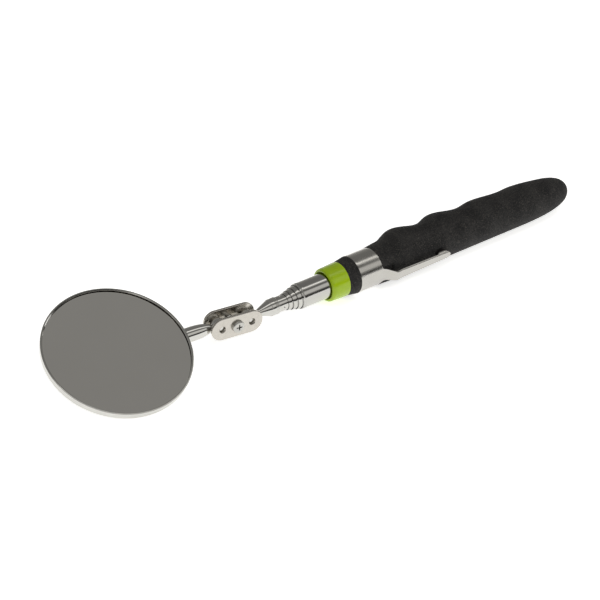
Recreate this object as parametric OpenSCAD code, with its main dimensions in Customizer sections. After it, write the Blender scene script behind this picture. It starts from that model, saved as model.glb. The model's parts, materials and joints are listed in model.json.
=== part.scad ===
// Telescoping inspection mirror: a round mirror on a double ball joint,
// carried by a five-section telescopic pole with a moulded foam handle.
//
// The origin is on the pole's axis, in the middle of the bare barrel between
// the handle's collar and the barrel's mouth. +X runs along the pole towards
// the mirror, +Z is up and the pole lies level. The pole is drawn closed.

/* [Mirror] */
// Diameter over the rolled rim
mirror_d = 57; // [44:0.5:70]
// Width of the rim's lip over the edge of the glass
lip_w = 0.9; // [0.8:0.1:2]
// Thickness of the glass
glass_t = 1.4; // [1:0.1:3]
// Thickness of the adhesive pad behind the glass
pad_t = 0.9; // [0.2:0.1:1]
// Sheet thickness of the cup
cup_sheet = 0.4; // [0.3:0.05:0.8]
// Outer corner radius of the cup's floor
cup_corner = 0.8; // [0.4:0.1:1.2]

/* [Mirror stem] */
// Ball centre to the mirror's rim
stem_reach = 14.7; // [13:0.1:24]
// Diameter of the stem's body
stem_d = 5.9; // [4.5:0.1:7]
// Diameter of the neck beside the ball
stem_neck_d = 1.6; // [1.2:0.1:2.2]
// Length of the stem's rounded nose
nose_len = 8.4; // [5:0.1:9.5]
// Width of the tongue under the cup
tongue_w = 8; // [5:0.5:12]
// Thickness of the tongue
tongue_t = 1.6; // [1:0.1:2.5]
// Length of the tongue under the cup
tongue_len = 19; // [12:1:30]

/* [Ball joint] */
// Ball diameter
ball_d = 6; // [5.6:0.1:7]
// Distance between the two ball centres
ball_spacing = 12.8; // [12:0.1:18]
// How far each ball sinks into a clamp plate
seat_depth = 0.4; // [0.3:0.05:0.6]
// Thickness of a clamp plate
plate_t = 1.2; // [0.8:0.1:2]
// Radius of a clamp plate's rounded end
plate_end_r = 4.6; // [4:0.1:6]
// Diameter of the hole in a plate over each ball
seat_hole_d = 2.6; // [2:0.1:3]
// Diameter of the clamp screw's shank
screw_d = 2.5; // [2:0.1:3]
// Diameter of the clamp screw's head
screw_head_d = 4.9; // [4:0.1:6]
// Height of the clamp screw's head
screw_head_h = 1.5; // [1:0.1:2.5]
// Width across flats of the clamp nut
nut_af = 5; // [4:0.1:6]
// Thickness of the clamp nut
nut_t = 2; // [1.5:0.1:3]
// Turn of the whole head away from the pole's line
head_yaw = 6; // [0:1:10]
// Rise of the link between the balls
link_pitch = 2.5; // [0:0.5:8]
// Roll of the mirror about its stem
mirror_roll = 23.5; // [0:0.5:45]
// Rise of the mirror's plane from its stem
mirror_pitch = 4; // [0:0.5:8]

/* [Telescopic pole] */
// Outer diameter of the barrel, the largest tube
barrel_d = 10.4; // [8:0.1:12]
// Bare length of the barrel in front of the handle
barrel_show = 13.2; // [8:0.2:30]
// Wall of each tube
tube_wall = 0.28; // [0.24:0.01:0.4]
// Thickness of each split friction bush
bush_t = 0.14; // [0.1:0.01:0.2]
// Length of each split friction bush
bush_len = 8; // [4:0.5:12]
// How far each section stands out of the next larger one
section_show = 2; // [1.2:0.1:6]
// How far the tip section stands out
tip_show = 4; // [3:0.1:10]
// Tip section's mouth to the centre of its ball
stud_reach = 13.4; // [12:0.1:20]
// Length of the stud's collar in front of the tip section
stud_collar_len = 3.5; // [2:0.1:5]
// Diameter of the neck beside the pole's ball
stud_neck_d = 1.9; // [1.4:0.1:2.2]

/* [Handle] */
// Length of the front collar
collar_len = 8.2; // [5:0.1:15]
// Wall of the collar at its front
collar_wall = 1.65; // [1.3:0.05:3]
// Length of the foam grip
grip_len = 122; // [100:1:160]
// Thickness of the foam away from the finger grooves
grip_wall = 3; // [2.8:0.1:5]
// Thickness of the foam under the clip's band
neck_wall = 2.2; // [2:0.1:2.3]
// Collar to the clip's band
band_offset = 5.1; // [3:0.1:12]
// Length of the clip's band
band_len = 10.9; // [6:0.1:16]

/* [Pocket clip] */
// Sheet thickness of the clip
clip_t = 0.4; // [0.3:0.05:0.8]
// Length of the tongue behind the band
clip_len = 32.4; // [25:0.1:50]
// Width of the tongue at the band
clip_root_w = 6.4; // [5.5:0.1:10]
// Width of the tongue behind its root
clip_w = 4.4; // [4:0.1:7]
// Width of the tongue at its tip
clip_tip_w = 3.2; // [3:0.1:5]
// Height of the tongue's underside above the grip
clip_lift = 2.3; // [0.7:0.1:3]
// Angle of the clip below the pole's side
clip_turn = 5.5; // [0:0.1:45]

/* [Hidden] */

$fn = 64;
running = 0.04;     // radial clearance of a sliding or turning fit
seated = 0.02;      // radial clearance of a piece pressed home
slack = 0.1;        // end clearance of a captive bush
lip_len = 0.8;      // rolled-in mouth of a tube
bead_len = 0.8;     // raised bead at each end of a bush
sections = 4;       // sections inside the barrel, the tip section last

barrel_front = barrel_show / 2;
collar_front = -barrel_show / 2;
grip_front = collar_front - collar_len;
grip_rear = grip_front - grip_len;
band_front = grip_front - band_offset;
band_rear = band_front - band_len;
barrel_rear = grip_rear + 5.6;
plug_len = 3.5;

// Section 0 is the barrel and section 4 is the tip.
tube_step = tube_wall + bush_t + 2 * running;
function tube_r(i) = barrel_d / 2 - i * tube_step;
function bore_r(i) = tube_r(i) - tube_wall;
function tube_front(i) =
    i < sections ? barrel_front + i * section_show
                 : barrel_front + (sections - 1) * section_show + tip_show;
function tube_rear(i) = i == 0 ? barrel_rear : barrel_rear + plug_len + i;
function bush_rear(i) = tube_rear(i) + bead_len + slack;

collar_d = barrel_d + 2 * collar_wall;
neck_d = barrel_d + 2 * neck_wall;
grip_d = barrel_d + 2 * grip_wall;

tip_front = tube_front(sections);
pole_ball_x = tip_front + stud_reach;
ball_r = ball_d / 2;
plate_gap = ball_d - 2 * seat_depth;
seat_r = ball_r + running;
screw_r = screw_d / 2;
mirror_r = mirror_d / 2;
cup_depth = cup_sheet + pad_t + glass_t + cup_sheet;
cup_bottom = tongue_t / 2;

// ---- Frames ----

// Profiles drawn as [radius, distance] are turned about the X axis.
module lathe(angle = 360) {
    rotate([0, 90, 0]) rotate_extrude(angle = angle) children();
}

// Centre of the pole's ball, X along the head.
module head_frame() {
    translate([pole_ball_x, 0, 0]) rotate([0, 0, -head_yaw]) children();
}

// Middle of the link, X from the pole's ball to the mirror's ball.
module link_frame() {
    head_frame() rotate([0, -link_pitch, 0]) translate([ball_spacing / 2, 0, 0]) children();
}

// Centre of the mirror's ball, X along the mirror's stem.
module stem_frame() {
    head_frame()
        translate([ball_spacing * cos(link_pitch), 0, ball_spacing * sin(link_pitch)])
            children();
}

// Middle of the tongue where it enters under the rim, Z square to the glass.
module mirror_frame() {
    stem_frame() translate([stem_reach, 0, 0])
        rotate([-mirror_roll, 0, 0]) rotate([0, -mirror_pitch, 0]) children();
}

// Centre of the cup's floor, Z through the glass.
module cup_frame() {
    mirror_frame() translate([mirror_r, 0, cup_bottom]) children();
}

// X along the pole, Z out through the middle of the clip.
module clip_frame() {
    rotate([-90 - clip_turn, 0, 0]) children();
}

// ---- Handle ----

grip_r = grip_d / 2;
neck_r = neck_d / 2;
barrel_r = barrel_d / 2;
shoulder_len = 9;        // foam that swells behind the band
end_len = 32.7;          // rounded rear end of the grip
end_power = 3;           // squareness of the rounded end
groove_side = 165.3;     // middle of the finger side, about the pole

// Swell of the grip on its finger side: [distance behind the band, swell].
finger_swell = [[0, 0], [5.8, 0.4], [16.7, 3.6], [28.3, 1.1], [36.9, 3.2], [49.6, 1],
                [58.1, 2], [72.8, 0.9], [78.3, 1.2], [95.3, 0.2], [105.8, 0]];
swell_len = finger_swell[len(finger_swell) - 1][0];

function ease(t) = (1 - cos(180 * t)) / 2;
function swell(d, i = 0) =
    i >= len(finger_swell) - 1 ? 0
    : d > finger_swell[i + 1][0] ? swell(d, i + 1)
    : let (a = finger_swell[i], b = finger_swell[i + 1])
      a[1] + (b[1] - a[1]) * ease((d - a[0]) / (b[0] - a[0]));

body_len = band_rear - grip_rear;
behind_band_r = neck_r + clip_t + 0.15;
function foam_r(d) =
    let (end = max(0, d - (body_len - end_len)) / end_len,
         front = min(1, d / shoulder_len),
         full = behind_band_r + (grip_r - behind_band_r) * ease(front))
    full * pow(1 - pow(min(end, 1), end_power), 1 / end_power);

// Ring stations close up towards the rounded end.
ring_sides = 32;
body_rings = 44;
function station(k) = body_len * (1 - pow(1 - k / body_rings, 1.35));
function ring(k) =
    let (d = station(k), r = foam_r(d), s = min(swell(d * swell_len / body_len), r * 0.5))
    [for (j = [0 : ring_sides - 1])
        let (a = 360 * j / ring_sides,
             reach = r + s * pow(max(0, cos(a - groove_side)), 1.5))
        [band_rear - d, reach * cos(a), reach * sin(a)]];

module grip_body() {
    points = concat([for (k = [0 : body_rings - 1]) each ring(k)],
                    [[band_rear, 0, 0], [grip_rear, 0, 0]]);
    front_hub = body_rings * ring_sides;
    last = (body_rings - 1) * ring_sides;
    function next(j) = (j + 1) % ring_sides;
    walls = [for (k = [0 : body_rings - 2]) for (j = [0 : ring_sides - 1])
        let (a = k * ring_sides, b = a + ring_sides)
        each [[a + j, b + next(j), b + j], [a + j, a + next(j), b + next(j)]]];
    front = [for (j = [0 : ring_sides - 1]) [front_hub, next(j), j]];
    rear = [for (j = [0 : ring_sides - 1]) [front_hub + 1, last + j, last + next(j)]];
    polyhedron(points, concat(walls, front, rear));
}

module foam_grip() {
    neck_front_r = collar_d / 2 + 0.2;
    color("#1d1e20") difference() {
        union() {
            grip_body();
            lathe() polygon([[0, grip_front], [neck_front_r, grip_front],
                             [neck_r + clip_t, band_front], [neck_r, band_front],
                             [neck_r, band_rear - 1], [0, band_rear - 1]]);
        }
        translate([barrel_rear - slack, 0, 0]) rotate([0, 90, 0])
            cylinder(r = barrel_r + seated, h = grip_front - barrel_rear + 1);
        clip_pocket();
        translate([band_rear, 0, 0]) clip_frame() translate([-dome_x, 0, dome_z])
            sphere(r = dome_r + dome_gap);
    }
}

// Recess in the foam that lets the clip's root spring.
module clip_pocket() {
    reach = 4.8;         // length of the recess behind the band
    side_gap = 0.3;      // clearance on each side of the root
    w = clip_root_w + 2 * side_gap;
    translate([band_rear, 0, 0]) clip_frame() difference() {
        translate([-reach, -w / 2, 0]) cube([reach + 0.1, w, grip_d]);
        rotate([0, -90, 0]) cylinder(r = neck_r - 0.1, h = 3 * reach, center = true);
    }
}

module front_collar() {
    front_r = collar_d / 2;
    rear_r = front_r + 0.35;
    edge = 1.1;          // rounding of the collar's front edge
    mouth = 0.5;         // dark gap around the barrel at the mouth
    color("#a8cc14") lathe() polygon(concat(
        [[barrel_r + seated, grip_front], [rear_r, grip_front]],
        [for (a = [0 : 15 : 90])
            [front_r - edge + edge * cos(a), collar_front - edge + edge * sin(a)]],
        [[barrel_r + mouth, collar_front], [barrel_r + mouth, collar_front - 2],
         [barrel_r + seated, collar_front - 2]]));
}

module barrel_tube() {
    color("#b9bcc0") lathe() polygon([
        [tube_r(0), barrel_rear], [tube_r(0), barrel_front - 0.2],
        [tube_r(0) - 0.2, barrel_front], [tube_r(1) + running, barrel_front],
        [tube_r(1) + running, barrel_front - lip_len],
        [bore_r(0), barrel_front - lip_len], [bore_r(0), barrel_rear]]);
}

module tube_plug() {
    color("#303236") translate([barrel_rear, 0, 0]) rotate([0, 90, 0])
        cylinder(r = bore_r(0) - seated, h = plug_len);
}

// ---- Pocket clip ----

band_r = neck_r + seated + clip_t;
hinge_x = band_rear - 0.3;
clip_z = grip_r + clip_lift;
root_x = 3.2;            // where the root patch ends and the fold begins
crest_x = 5.6;           // crest of the fold
crest_h = 0.3;           // height of the crest over the straight tongue
waist_x = 5;             // where the root has narrowed
fold_x = 8;              // where the tongue straightens
dome_r = 2.7;            // pressed dome that grips the cloth
dome_h = 2.4;            // height of the dome under the tongue
dome_gap = 0.1;          // clearance of the dome in its dent in the foam
dome_x = clip_len - 2.8;
dome_z = clip_z + dome_r - dome_h;

module clip_band() {
    color("#c4c6c8") lathe() polygon([
        [neck_r + seated, band_rear], [band_r, band_rear],
        [band_r, band_front], [neck_r + seated, band_front]]);
}

// Outline of the tongue seen square on, X measured back from the band.
module tongue_outline() {
    tip_r = clip_tip_w / 2;
    hull() {
        translate([-0.2 - 0.01, -clip_root_w / 2]) square([0.02, clip_root_w]);
        translate([-waist_x, -clip_w / 2]) square([0.02, clip_w]);
    }
    hull() {
        translate([-waist_x, -clip_w / 2]) square([0.02, clip_w]);
        translate([-clip_len + tip_r, 0]) circle(r = tip_r);
    }
}

// Side view of the folded sheet, [distance behind the band, height].
module tongue_side() {
    low = neck_r + seated;
    high = clip_z;
    crest = high + crest_h;
    polygon([[-root_x, low], [-crest_x, crest], [-fold_x, high], [-clip_len, high],
             [-clip_len, high + clip_t], [-fold_x + 0.1, high + clip_t],
             [-crest_x + 0.3, crest + clip_t], [-root_x + 0.2, band_r - 0.05],
             [-0.2, band_r], [-0.2, low]]);
}

module clip_tongue() {
    color("#c4c6c8") translate([band_rear, 0, 0]) clip_frame() {
        intersection() {
            union() {
                translate([0, clip_root_w / 2, 0]) rotate([90, 0, 0])
                    linear_extrude(clip_root_w) tongue_side();
                translate([-dome_x, 0, clip_z]) intersection() {
                    translate([0, 0, dome_r - dome_h]) sphere(r = dome_r);
                    translate([-dome_r, -dome_r, -dome_h])
                        cube([2 * dome_r, 2 * dome_r, dome_h + clip_t / 2]);
                }
            }
            linear_extrude(20) tongue_outline();
            difference() {
                rotate([0, -90, 0]) cylinder(r = 40, h = clip_len + 1);
                translate([1, 0, 0]) rotate([0, -90, 0])
                    cylinder(r = neck_r + seated, h = 6);
            }
            union() {
                translate([-4, 0, 0]) rotate([0, 90, 0]) cylinder(r = band_r, h = 5);
                translate([-clip_len - 1, -10, 0]) cube([clip_len - 2.2, 20, 30]);
            }
        }
    }
}

// ---- Telescopic pole ----

// One section with its rolled mouth, and the two beads that hold its bush.
module section(i) {
    r = tube_r(i);
    x0 = tube_rear(i);
    x1 = tube_front(i);
    bead_r = r + bush_t;
    bush_end = bush_rear(i) + bush_len + slack;
    mouth = i < sections ? tube_r(i + 1) + running : bore_r(i);
    color("#c2c5c8") lathe() polygon(concat(
        [[bore_r(i), x0], [bead_r, x0], [bead_r, x0 + bead_len], [r, x0 + bead_len],
         [r, bush_end], [bead_r, bush_end], [bead_r, bush_end + bead_len],
         [r, bush_end + bead_len], [r, x1 - 0.2], [r - 0.15, x1], [mouth, x1]],
        i < sections ? [[mouth, x1 - lip_len], [bore_r(i), x1 - lip_len]] : []));
}

// Thin split sleeve that slides in the next larger tube.
module friction_bush(i) {
    r0 = tube_r(i) + running;
    split = 24;          // angle of the open slit
    color("#b98b4a") lathe(360 - split) translate([r0, bush_rear(i)])
        square([bush_t, bush_len]);
}

module friction_bush_1() { friction_bush(1); }
module friction_bush_2() { friction_bush(2); }
module friction_bush_3() { friction_bush(3); }
module friction_bush_4() { friction_bush(4); }
module section_tube_1() { section(1); }
module section_tube_2() { section(2); }
module section_tube_3() { section(3); }
module tip_tube() { section(4); }

// Turned stud: shank inside the tip section, collar, cone, neck and ball.
module pole_stud() {
    shank_r = bore_r(sections) - seated;
    shank_len = 8;
    collar_r = tube_r(sections) + 0.25;
    collar_x = tip_front + stud_collar_len;
    neck_r = stud_neck_d / 2;
    neck_x = pole_ball_x - sqrt(pow(ball_r, 2) - pow(neck_r, 2));
    edge = 0.2;
    color("#c8cacc") {
        lathe() polygon([[0, tip_front - shank_len], [shank_r, tip_front - shank_len],
                         [shank_r, tip_front], [collar_r - edge, tip_front],
                         [collar_r, tip_front + edge], [collar_r, collar_x - edge],
                         [collar_r - edge, collar_x], [neck_r, neck_x - 0.2],
                         [neck_r, pole_ball_x - ball_r / 2], [0, pole_ball_x - ball_r / 2]]);
        translate([pole_ball_x, 0, 0]) rotate([0, 90, 0]) sphere(r = ball_r);
    }
}

// ---- Ball joint ----

module plate_outline() {
    for (side = [-1, 1])
        translate([side * ball_spacing / 2, 0]) circle(r = plate_end_r);
    square([ball_spacing, 2 * plate_end_r], center = true);
}

// Side is 1 for the front plate and -1 for the rear plate.
module clamp_plate(side) {
    outer = plate_gap / 2 + plate_t;
    color("#cfd0d0") link_frame() difference() {
        translate([0, side > 0 ? outer : -plate_gap / 2, 0]) rotate([90, 0, 0])
            linear_extrude(plate_t) plate_outline();
        for (end = [-1, 1]) translate([end * ball_spacing / 2, 0, 0]) {
            sphere(r = seat_r);
            rotate([90, 0, 0]) cylinder(d = seat_hole_d, h = 2 * outer + 1, center = true);
        }
        rotate([90, 0, 0]) cylinder(r = screw_r + 0.06, h = 2 * outer + 1, center = true);
    }
}

module clamp_plate_front() { clamp_plate(1); }
module clamp_plate_rear() { clamp_plate(-1); }

module clamp_screw() {
    face = plate_gap / 2 + plate_t;
    length = 2 * face + nut_t + 0.8;
    recess = 0.9;        // depth of the cross recess
    color("#bfc1c3") link_frame() difference() {
        union() {
            translate([0, face + screw_head_h + running, 0]) rotate([90, 0, 0])
                cylinder(d = screw_head_d, h = screw_head_h);
            translate([0, face + running + 0.5, 0]) rotate([90, 0, 0])
                cylinder(r = screw_r, h = length + running + 0.5);
        }
        for (turn = [0, 90])
            translate([0, face + screw_head_h + running, 0]) rotate([0, turn, 0])
                cube([2.8, 2 * recess, 0.6], center = true);
    }
}

module clamp_nut() {
    color("#b4b6b8") link_frame()
        translate([0, -plate_gap / 2 - plate_t, 0]) rotate([90, 30, 0]) difference() {
            cylinder(d = nut_af / cos(30), h = nut_t, $fn = 6);
            translate([0, 0, -1]) cylinder(r = screw_r + 0.06, h = nut_t + 2);
        }
}

// ---- Mirror head ----

pin_r = stem_neck_d / 2 - running;
pin_depth = 2;           // how far the stem's pin runs past the ball's centre

module mirror_ball() {
    color("#c8cacc") stem_frame() rotate([0, 90, 0]) difference() {
        sphere(r = ball_r);
        translate([0, 0, -pin_depth - slack]) cylinder(r = pin_r + running, h = ball_d);
    }
}

// Turned stem with a rounded nose, a pin in the ball and a flat welded tongue.
module mirror_stem() {
    body_r = stem_d / 2;
    neck_r = stem_neck_d / 2;
    neck_x = sqrt(pow(ball_r, 2) - pow(neck_r, 2)) + 0.15;
    end_x = stem_reach - 0.4;
    nose = min(nose_len, end_x - neck_x - 1);
    color("#c8cacc") {
        stem_frame() lathe() polygon(concat(
            [[0, -pin_depth], [pin_r, -pin_depth], [pin_r, neck_x], [neck_r, neck_x]],
            [for (t = [0.06 : 0.094 : 1])
                [neck_r + (body_r - neck_r) * sqrt(1 - pow(1 - t, 2)), neck_x + nose * t]],
            [[body_r, end_x - 0.4], [body_r - 0.4, end_x], [0, end_x]]));
        mirror_frame() translate([0, 0, -tongue_t / 2]) linear_extrude(tongue_t) {
            translate([tongue_len - tongue_w / 2, 0]) circle(d = tongue_w);
            translate([-1, -stem_d / 2 + 0.5]) square([5, stem_d - 1]);
            translate([1.5, -tongue_w / 2])
                square([tongue_len - tongue_w / 2 - 1.5, tongue_w]);
        }
    }
}

// Shallow pan with its lip rolled over the edge of the glass.
module mirror_cup() {
    r = mirror_r;
    c = cup_corner;
    lip_r = r - lip_w;
    edge = cup_sheet * 0.8;
    color("#d2d4d6") cup_frame() rotate_extrude($fn = 128) polygon(concat(
        [[0, 0]],
        [for (a = [-90 : 18 : 0]) [r - c + c * cos(a), c + c * sin(a)]],
        [for (a = [0 : 30 : 90])
            [r - edge + edge * cos(a), cup_depth - edge + edge * sin(a)]],
        [[lip_r, cup_depth], [lip_r, cup_depth - cup_sheet],
         [r - cup_sheet, cup_depth - cup_sheet]],
        [for (a = [0 : -30 : -90])
            [r - c + (c - cup_sheet) * cos(a), c + (c - cup_sheet) * sin(a)]],
        [[0, cup_sheet]]));
}

glass_r = mirror_r - cup_corner;

module mirror_pad() {
    color("#2b2b2b") cup_frame() translate([0, 0, cup_sheet])
        cylinder(r = glass_r - 1.5, h = pad_t, $fn = 128);
}

module mirror_glass() {
    color("#8c8f90") cup_frame() translate([0, 0, cup_sheet + pad_t])
        cylinder(r = glass_r + 0.2, h = glass_t, $fn = 128);
}

foam_grip();
front_collar();
clip_band();
clip_tongue();
barrel_tube();
tube_plug();
friction_bush_1();
section_tube_1();
friction_bush_2();
section_tube_2();
friction_bush_3();
section_tube_3();
friction_bush_4();
tip_tube();
pole_stud();
clamp_plate_front();
clamp_plate_rear();
clamp_screw();
clamp_nut();
mirror_ball();
mirror_stem();
mirror_cup();
mirror_pad();
mirror_glass();
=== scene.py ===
"""Looks of a telescoping inspection mirror: polished chrome tubes, a lime collar, a black foam
handle with a pocket clip, and a round mirror on a double ball joint."""

import json
import math

import bmesh
import bpy
from mathutils import Matrix, Vector


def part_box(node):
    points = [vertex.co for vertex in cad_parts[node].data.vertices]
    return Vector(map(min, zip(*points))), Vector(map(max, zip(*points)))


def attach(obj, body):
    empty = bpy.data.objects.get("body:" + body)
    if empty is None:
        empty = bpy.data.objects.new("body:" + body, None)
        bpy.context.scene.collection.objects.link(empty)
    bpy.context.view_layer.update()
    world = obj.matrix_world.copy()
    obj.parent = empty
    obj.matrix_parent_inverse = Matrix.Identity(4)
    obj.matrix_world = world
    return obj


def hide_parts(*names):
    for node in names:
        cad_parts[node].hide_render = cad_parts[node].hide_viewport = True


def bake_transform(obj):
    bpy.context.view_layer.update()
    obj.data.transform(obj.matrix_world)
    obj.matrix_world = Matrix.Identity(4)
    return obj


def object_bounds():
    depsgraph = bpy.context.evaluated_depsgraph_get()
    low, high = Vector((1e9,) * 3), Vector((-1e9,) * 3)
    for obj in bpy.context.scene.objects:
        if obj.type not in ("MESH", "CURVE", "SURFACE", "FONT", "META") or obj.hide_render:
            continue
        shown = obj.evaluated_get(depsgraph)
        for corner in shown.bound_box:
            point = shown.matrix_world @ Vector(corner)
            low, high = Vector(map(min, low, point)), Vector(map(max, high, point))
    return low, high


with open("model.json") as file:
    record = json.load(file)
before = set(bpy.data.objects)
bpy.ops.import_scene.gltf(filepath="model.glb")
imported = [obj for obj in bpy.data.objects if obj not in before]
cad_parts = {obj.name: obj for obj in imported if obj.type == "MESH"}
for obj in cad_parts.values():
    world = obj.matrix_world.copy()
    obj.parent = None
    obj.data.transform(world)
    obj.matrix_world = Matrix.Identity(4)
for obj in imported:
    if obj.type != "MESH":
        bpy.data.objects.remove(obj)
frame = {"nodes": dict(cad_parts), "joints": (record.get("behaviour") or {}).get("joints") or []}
cad_low, cad_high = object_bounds()
joints = {joint["name"]: joint for joint in frame["joints"]}

MM = 0.001

# ---- Camera ----
# A long lens looks down on the tool from beyond its mirror, with the handle running away to
# the right.
VIEW_AZIMUTH = 142.6
VIEW_ELEVATION = 32.55
VIEW_DISTANCE = 700 * MM
AIM_RIGHT = -3.81 * MM
AIM_UP = -3.37 * MM

azimuth, elevation = math.radians(VIEW_AZIMUTH), math.radians(VIEW_ELEVATION)
view_back = Vector((math.sin(azimuth) * math.cos(elevation),
                    -math.cos(azimuth) * math.cos(elevation), math.sin(elevation)))
view_right = Vector((math.cos(azimuth), math.sin(azimuth), 0))
view_up = view_back.cross(view_right)

camera_data = bpy.data.cameras.new("studio_camera")
camera_data.lens = 108.06
camera_data.sensor_width = 36
camera_data.clip_start = 0.01
camera_data.clip_end = 50
camera = bpy.data.objects.new("studio_camera", camera_data)
camera.location = view_right * AIM_RIGHT + view_up * AIM_UP + view_back * VIEW_DISTANCE
camera.rotation_mode = "QUATERNION"
camera.rotation_quaternion = (-view_back).to_track_quat("-Z", "Y")
bpy.context.scene.collection.objects.link(camera)
bpy.context.scene.camera = camera
bpy.context.scene.view_settings.view_transform = "Standard"


# ---- Studio floor ----
# A table top of opal acrylic, wide enough to fill every view, at the height where the grip and
# the mirror's rim touch it. It is lit from below, so shadows on it stay faint.

def linear(hex_colour):
    """An sRGB hex colour as linear red, green, blue and alpha."""
    values = [int(hex_colour[i:i + 2], 16) / 255 for i in (1, 3, 5)]
    return [v / 12.92 if v <= 0.04045 else ((v + 0.055) / 1.055) ** 2.4 for v in values] + [1]


def add(tree, kind, inputs=None, **settings):
    """Adds a node with its settings. Inputs are values, or the sockets that they link from."""
    made = tree.nodes.new(kind)
    for name, value in settings.items():
        setattr(made, name, value)
    for name, value in (inputs or {}).items():
        if isinstance(value, bpy.types.NodeSocket):
            tree.links.new(value, made.inputs[name])
        else:
            made.inputs[name].default_value = value
    return made


def new_material(name):
    """A material, its node tree, its Principled shader and the object's own coordinates."""
    material = bpy.data.materials.new(name)
    material.use_nodes = True
    tree = material.node_tree
    tree.nodes.clear()
    shader = add(tree, "ShaderNodeBsdfPrincipled")
    add(tree, "ShaderNodeOutputMaterial", {"Surface": shader.outputs["BSDF"]})
    place = add(tree, "ShaderNodeTexCoord").outputs["Object"]
    return material, tree, shader, place


def two_tone(tree, amount, dark, light):
    """A colour that moves between two hex colours with an amount from 0 to 1."""
    ramp = add(tree, "ShaderNodeValToRGB", {"Fac": amount})
    ramp.color_ramp.elements[0].color = linear(dark)
    ramp.color_ramp.elements[1].color = linear(light)
    return ramp.outputs["Color"]


def opal_acrylic():
    # Matt opal acrylic over lamps: nearly white, glowing evenly, with a trace of clouding.
    material, tree, shader, place = new_material("lit_opal_acrylic")
    cloud = add(tree, "ShaderNodeTexNoise", {"Vector": place, "Scale": 4.0, "Detail": 2.0})
    colour = two_tone(tree, cloud.outputs["Fac"], "#f4f4f3", "#f8f8f7")
    tree.links.new(colour, shader.inputs["Base Color"])
    tree.links.new(colour, shader.inputs["Emission Color"])
    shader.inputs["Emission Strength"].default_value = 0.72
    shader.inputs["Roughness"].default_value = 0.9
    shader.inputs["Specular IOR Level"].default_value = 0.1
    return material


FLOOR_HALF = 4.0
floor_z = cad_low.z
floor_mesh = bpy.data.meshes.new("studio_floor")
floor_mesh.from_pydata([(-FLOOR_HALF, -FLOOR_HALF, floor_z), (FLOOR_HALF, -FLOOR_HALF, floor_z),
                        (FLOOR_HALF, FLOOR_HALF, floor_z), (-FLOOR_HALF, FLOOR_HALF, floor_z)],
                       [], [(0, 1, 2, 3)])
floor_mesh.materials.append(opal_acrylic())
floor = bpy.data.objects.new("studio_floor", floor_mesh)
bpy.context.scene.collection.objects.link(floor)


# ---- Studio light ----
# A grey room with two long soft boxes that lie along the tool: a narrow one overhead and a wide
# one on the clip's side. Lamps light the matt surfaces and are not seen in the polished ones.

def soft_box(name, direction, distance, width, height, power):
    """A rectangular lamp that faces the tool from a direction and a distance."""
    data = bpy.data.lights.new(name, "AREA")
    data.shape = "RECTANGLE"
    data.size = width
    data.size_y = height
    data.energy = power
    lamp = bpy.data.objects.new(name, data)
    lamp.location = direction.normalized() * distance
    lamp.rotation_mode = "QUATERNION"
    lamp.rotation_quaternion = (-direction).to_track_quat("-Z", "Y")
    lamp.visible_glossy = False
    bpy.context.scene.collection.objects.link(lamp)


soft_box("overhead_lamp", Vector((0.1, 0.1, 1)), 1.6, 1.8, 1.8, 5)
soft_box("side_lamp", Vector((-0.4, 0.75, 0.55)), 1.5, 1.4, 0.5, 4)


def maths(tree, operation, first, second=0.0):
    """The result of a Math node on values or sockets."""
    return add(tree, "ShaderNodeMath", {0: first, 1: second}, operation=operation).outputs[0]


# Brightness of the room at angles about the tool's long axis, from the clip's side upwards.
ROOM_LEVELS = [(-180, 0.5), (-172, 0.9), (-8, 0.9), (0, 0.07), (14, 0.06), (21, 0.28),
               (27, 0.8), (49, 0.84), (55, 0.22), (69, 0.2), (72, 0.7), (79, 0.8), (80, 1.8),
               (85, 1.8), (86, 0.8), (90, 0.7), (92, 0.235), (140, 0.24), (160, 0.34),
               (175, 0.45), (180, 0.5)]
world = bpy.data.worlds.new("grey_room")
world.use_nodes = True
room = world.node_tree
room.nodes.clear()
heading = add(room, "ShaderNodeTexCoord").outputs["Generated"]
ways = add(room, "ShaderNodeSeparateXYZ", {"Vector": heading})
around = maths(room, "ARCTAN2", ways.outputs["Z"], ways.outputs["Y"])
share = add(room, "ShaderNodeMapRange",
            {"Value": around, "From Min": -math.pi, "From Max": math.pi}).outputs["Result"]
walls = add(room, "ShaderNodeValToRGB", {"Fac": share})
ramp = walls.color_ramp
for degrees, _ in ROOM_LEVELS[1:-1]:
    ramp.elements.new((degrees + 180) / 360)
for stop, (degrees, level) in zip(ramp.elements, ROOM_LEVELS):
    stop.position = (degrees + 180) / 360
    stop.color = (level / 2, level / 2 * 0.985, level / 2 * 0.95, 1)
end_fade = add(room, "ShaderNodeMapRange", {"Value": ways.outputs["X"], "From Min": 0.35,
               "From Max": 0.8, "To Min": 1.0, "To Max": 0.0}, interpolation_type="SMOOTHSTEP")
tone = add(room, "ShaderNodeMix", {"Factor": end_fade.outputs["Result"],
           6: (0.16, 0.158, 0.152, 1), 7: walls.outputs["Color"]}, data_type="RGBA")
seen = add(room, "ShaderNodeLightPath").outputs["Is Camera Ray"]
backdrop = add(room, "ShaderNodeMix",
               {"Factor": seen, 6: tone.outputs[2], 7: linear("#bbbbbb")}, data_type="RGBA")
sky = add(room, "ShaderNodeBackground", {"Color": backdrop.outputs[2], "Strength": 2.0})
add(room, "ShaderNodeOutputWorld", {"Surface": sky.outputs["Background"]})
bpy.context.scene.world = world


# ---- Barrel and sections ----
# Five thin-walled brass tubes, drawn to size, chromed and polished. Each has its mouth rolled
# in over the next one, and two rolled beads at its inner end that hold a split bronze bush.

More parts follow.
